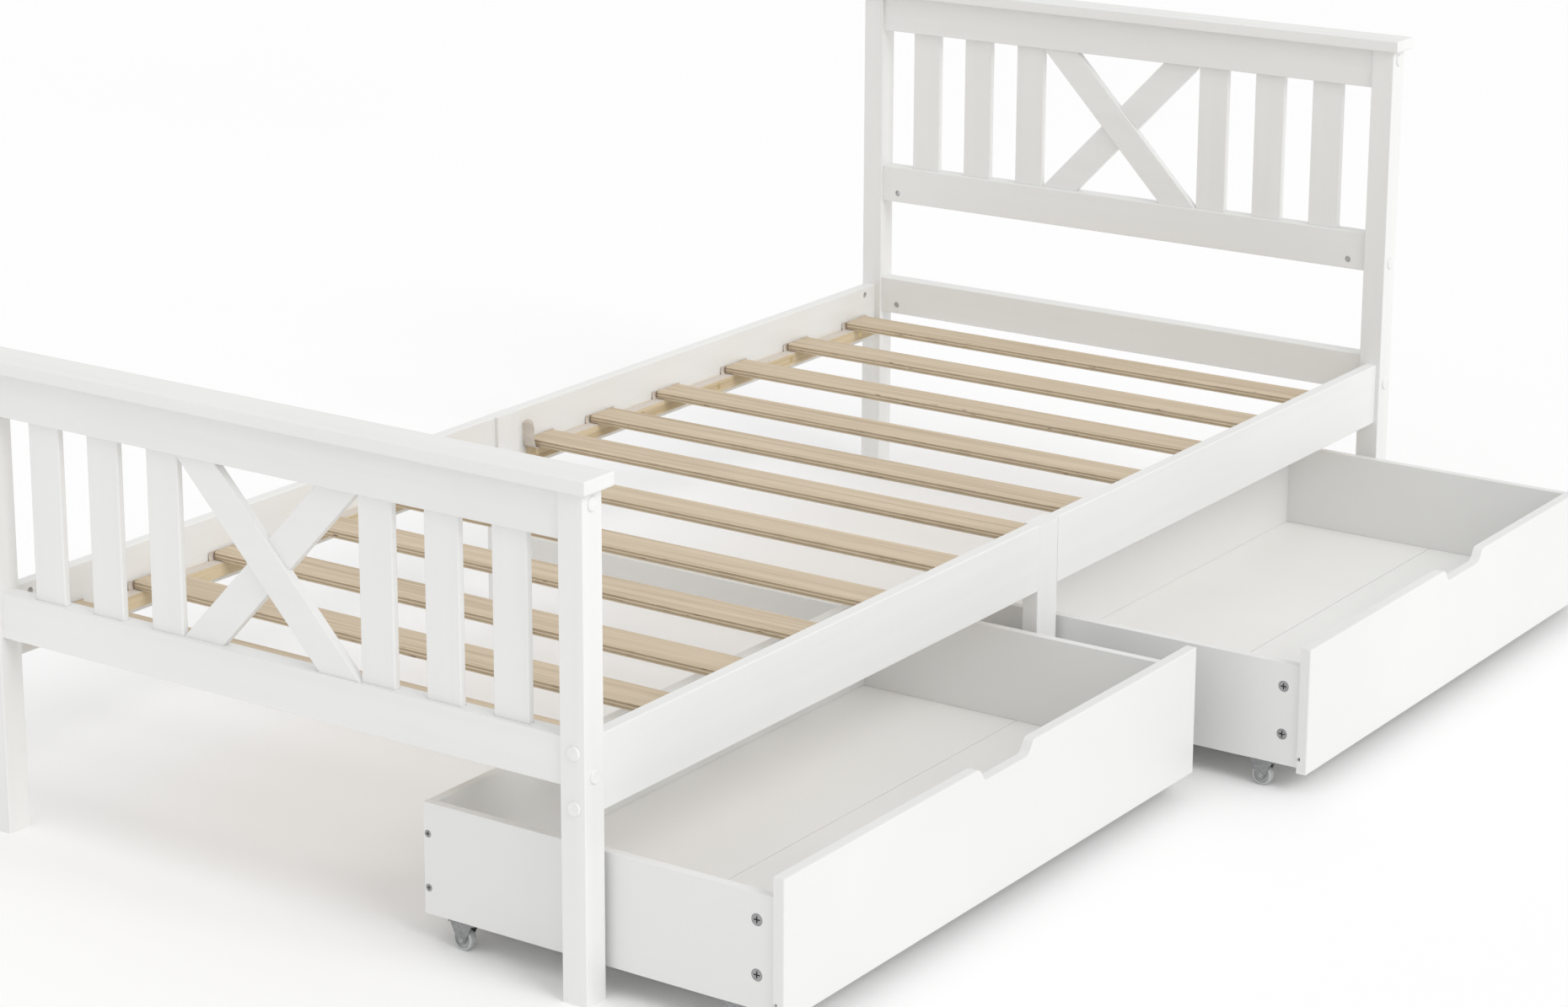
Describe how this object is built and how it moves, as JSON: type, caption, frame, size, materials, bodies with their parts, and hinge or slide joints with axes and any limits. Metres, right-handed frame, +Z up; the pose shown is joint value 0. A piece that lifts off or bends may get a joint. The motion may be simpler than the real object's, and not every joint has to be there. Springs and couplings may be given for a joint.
{
  "type": "bed frame",
  "caption": "Painted wooden single bed frame with crossed-bar head and foot boards, a slatted deck and rolling storage drawers under one side.",
  "frame": {"origin": "on the floor, under the middle of the outline as it stands with both drawers drawn out", "axes": "+X towards the side that the drawers open on, +Y towards the head end, +Z up"},
  "size_m": [1.356, 2.106, 0.839],
  "materials": {
    "painted_wood": "painted satin",
    "painted_board": "painted satin",
    "painted_hardboard": "foil faced, satin",
    "deck_plywood": "bare, sanded",
    "batten_pine": "bare, planed",
    "dowel_beech": "bare",
    "strap_webbing": "woven",
    "cover_plastic": "satin",
    "wheel_plastic": "semi-gloss",
    "zinc_steel": "zinc plated",
    "dark_steel": "dark plated"
  },
  "bodies": {
    "frame": {"foot_post_left": "painted_wood", "foot_post_right": "painted_wood", "head_post_left": "painted_wood", "head_post_right": "painted_wood", "foot_cap": "painted_wood", "head_cap": "painted_wood", "foot_top_rail": "painted_wood", "head_top_rail": "painted_wood", "head_mid_rail": "painted_wood", "foot_lower_rail": "painted_wood", "head_lower_rail": "painted_wood", "foot_slats_left": "painted_wood", "foot_slats_right": "painted_wood", "head_slats_left": "painted_wood", "head_slats_right": "painted_wood", "foot_cross_front": "painted_wood", "foot_cross_back": "painted_wood", "head_cross_front": "painted_wood", "head_cross_back": "painted_wood", "side_rail_foot_left": "painted_wood", "side_rail_foot_right": "painted_wood", "side_rail_head_left": "painted_wood", "side_rail_head_right": "painted_wood", "mid_leg_left": "painted_wood", "mid_leg_right": "painted_wood", "stretcher": "painted_wood", "battens_left": "batten_pine", "battens_right": "batten_pine", "deck_slats_head": "deck_plywood", "deck_slats_foot": "deck_plywood", "deck_straps": "strap_webbing", "frame_bolts": "zinc_steel", "barrel_nuts": "zinc_steel", "bolt_covers": "cover_plastic", "frame_dowels": "dowel_beech", "batten_screws": "zinc_steel"},
    "drawer_1": {"drawer_1_front": "painted_board", "drawer_1_side_foot": "painted_board", "drawer_1_side_head": "painted_board", "drawer_1_back": "painted_board", "drawer_1_floor": "painted_hardboard", "drawer_1_fittings": "dark_steel", "drawer_1_castor_brackets": "zinc_steel", "drawer_1_castor_axles": "zinc_steel"},
    "drawer_1_wheel_1": {"drawer_1_castor_wheel_1": "wheel_plastic"},
    "drawer_1_wheel_2": {"drawer_1_castor_wheel_2": "wheel_plastic"},
    "drawer_1_wheel_3": {"drawer_1_castor_wheel_3": "wheel_plastic"},
    "drawer_1_wheel_4": {"drawer_1_castor_wheel_4": "wheel_plastic"},
    "drawer_2": {"drawer_2_front": "painted_board", "drawer_2_side_foot": "painted_board", "drawer_2_side_head": "painted_board", "drawer_2_back": "painted_board", "drawer_2_floor": "painted_hardboard", "drawer_2_fittings": "dark_steel", "drawer_2_castor_brackets": "zinc_steel", "drawer_2_castor_axles": "zinc_steel"},
    "drawer_2_wheel_1": {"drawer_2_castor_wheel_1": "wheel_plastic"},
    "drawer_2_wheel_2": {"drawer_2_castor_wheel_2": "wheel_plastic"},
    "drawer_2_wheel_3": {"drawer_2_castor_wheel_3": "wheel_plastic"},
    "drawer_2_wheel_4": {"drawer_2_castor_wheel_4": "wheel_plastic"}
  },
  "joints": [
    {"name": "drawer_1_slide", "type": "slide", "parent": "frame", "child": "drawer_1", "axis": [1, 0, 0], "range_m": [-0.254, 0.306]},
    {"name": "drawer_1_wheel_1_roll", "type": "hinge", "parent": "drawer_1", "child": "drawer_1_wheel_1", "pos_m": [0.079, -0.9912, 0.014], "axis": [0, 1, 0], "continuous": true},
    {"name": "drawer_1_wheel_2_roll", "type": "hinge", "parent": "drawer_1", "child": "drawer_1_wheel_2", "pos_m": [0.48, -0.9912, 0.014], "axis": [0, 1, 0], "continuous": true},
    {"name": "drawer_1_wheel_3_roll", "type": "hinge", "parent": "drawer_1", "child": "drawer_1_wheel_3", "pos_m": [0.079, -0.0553, 0.014], "axis": [0, 1, 0], "continuous": true},
    {"name": "drawer_1_wheel_4_roll", "type": "hinge", "parent": "drawer_1", "child": "drawer_1_wheel_4", "pos_m": [0.48, -0.0553, 0.014], "axis": [0, 1, 0], "continuous": true},
    {"name": "drawer_2_slide", "type": "slide", "parent": "frame", "child": "drawer_2", "axis": [1, 0, 0], "range_m": [-0.383, 0.177]},
    {"name": "drawer_2_wheel_1_roll", "type": "hinge", "parent": "drawer_2", "child": "drawer_2_wheel_1", "pos_m": [0.208, 0.0433, 0.014], "axis": [0, 1, 0], "continuous": true},
    {"name": "drawer_2_wheel_2_roll", "type": "hinge", "parent": "drawer_2", "child": "drawer_2_wheel_2", "pos_m": [0.609, 0.0433, 0.014], "axis": [0, 1, 0], "continuous": true},
    {"name": "drawer_2_wheel_3_roll", "type": "hinge", "parent": "drawer_2", "child": "drawer_2_wheel_3", "pos_m": [0.208, 0.9792, 0.014], "axis": [0, 1, 0], "continuous": true},
    {"name": "drawer_2_wheel_4_roll", "type": "hinge", "parent": "drawer_2", "child": "drawer_2_wheel_4", "pos_m": [0.609, 0.9792, 0.014], "axis": [0, 1, 0], "continuous": true}
  ],
  "couplings": [
    {"joint": "drawer_1_wheel_1_roll", "follows": "drawer_1_slide", "rad_per_m": 71.429},
    {"joint": "drawer_1_wheel_2_roll", "follows": "drawer_1_slide", "rad_per_m": 71.429},
    {"joint": "drawer_1_wheel_3_roll", "follows": "drawer_1_slide", "rad_per_m": 71.429},
    {"joint": "drawer_1_wheel_4_roll", "follows": "drawer_1_slide", "rad_per_m": 71.429},
    {"joint": "drawer_2_wheel_1_roll", "follows": "drawer_2_slide", "rad_per_m": 71.429},
    {"joint": "drawer_2_wheel_2_roll", "follows": "drawer_2_slide", "rad_per_m": 71.429},
    {"joint": "drawer_2_wheel_3_roll", "follows": "drawer_2_slide", "rad_per_m": 71.429},
    {"joint": "drawer_2_wheel_4_roll", "follows": "drawer_2_slide", "rad_per_m": 71.429}
  ]
}
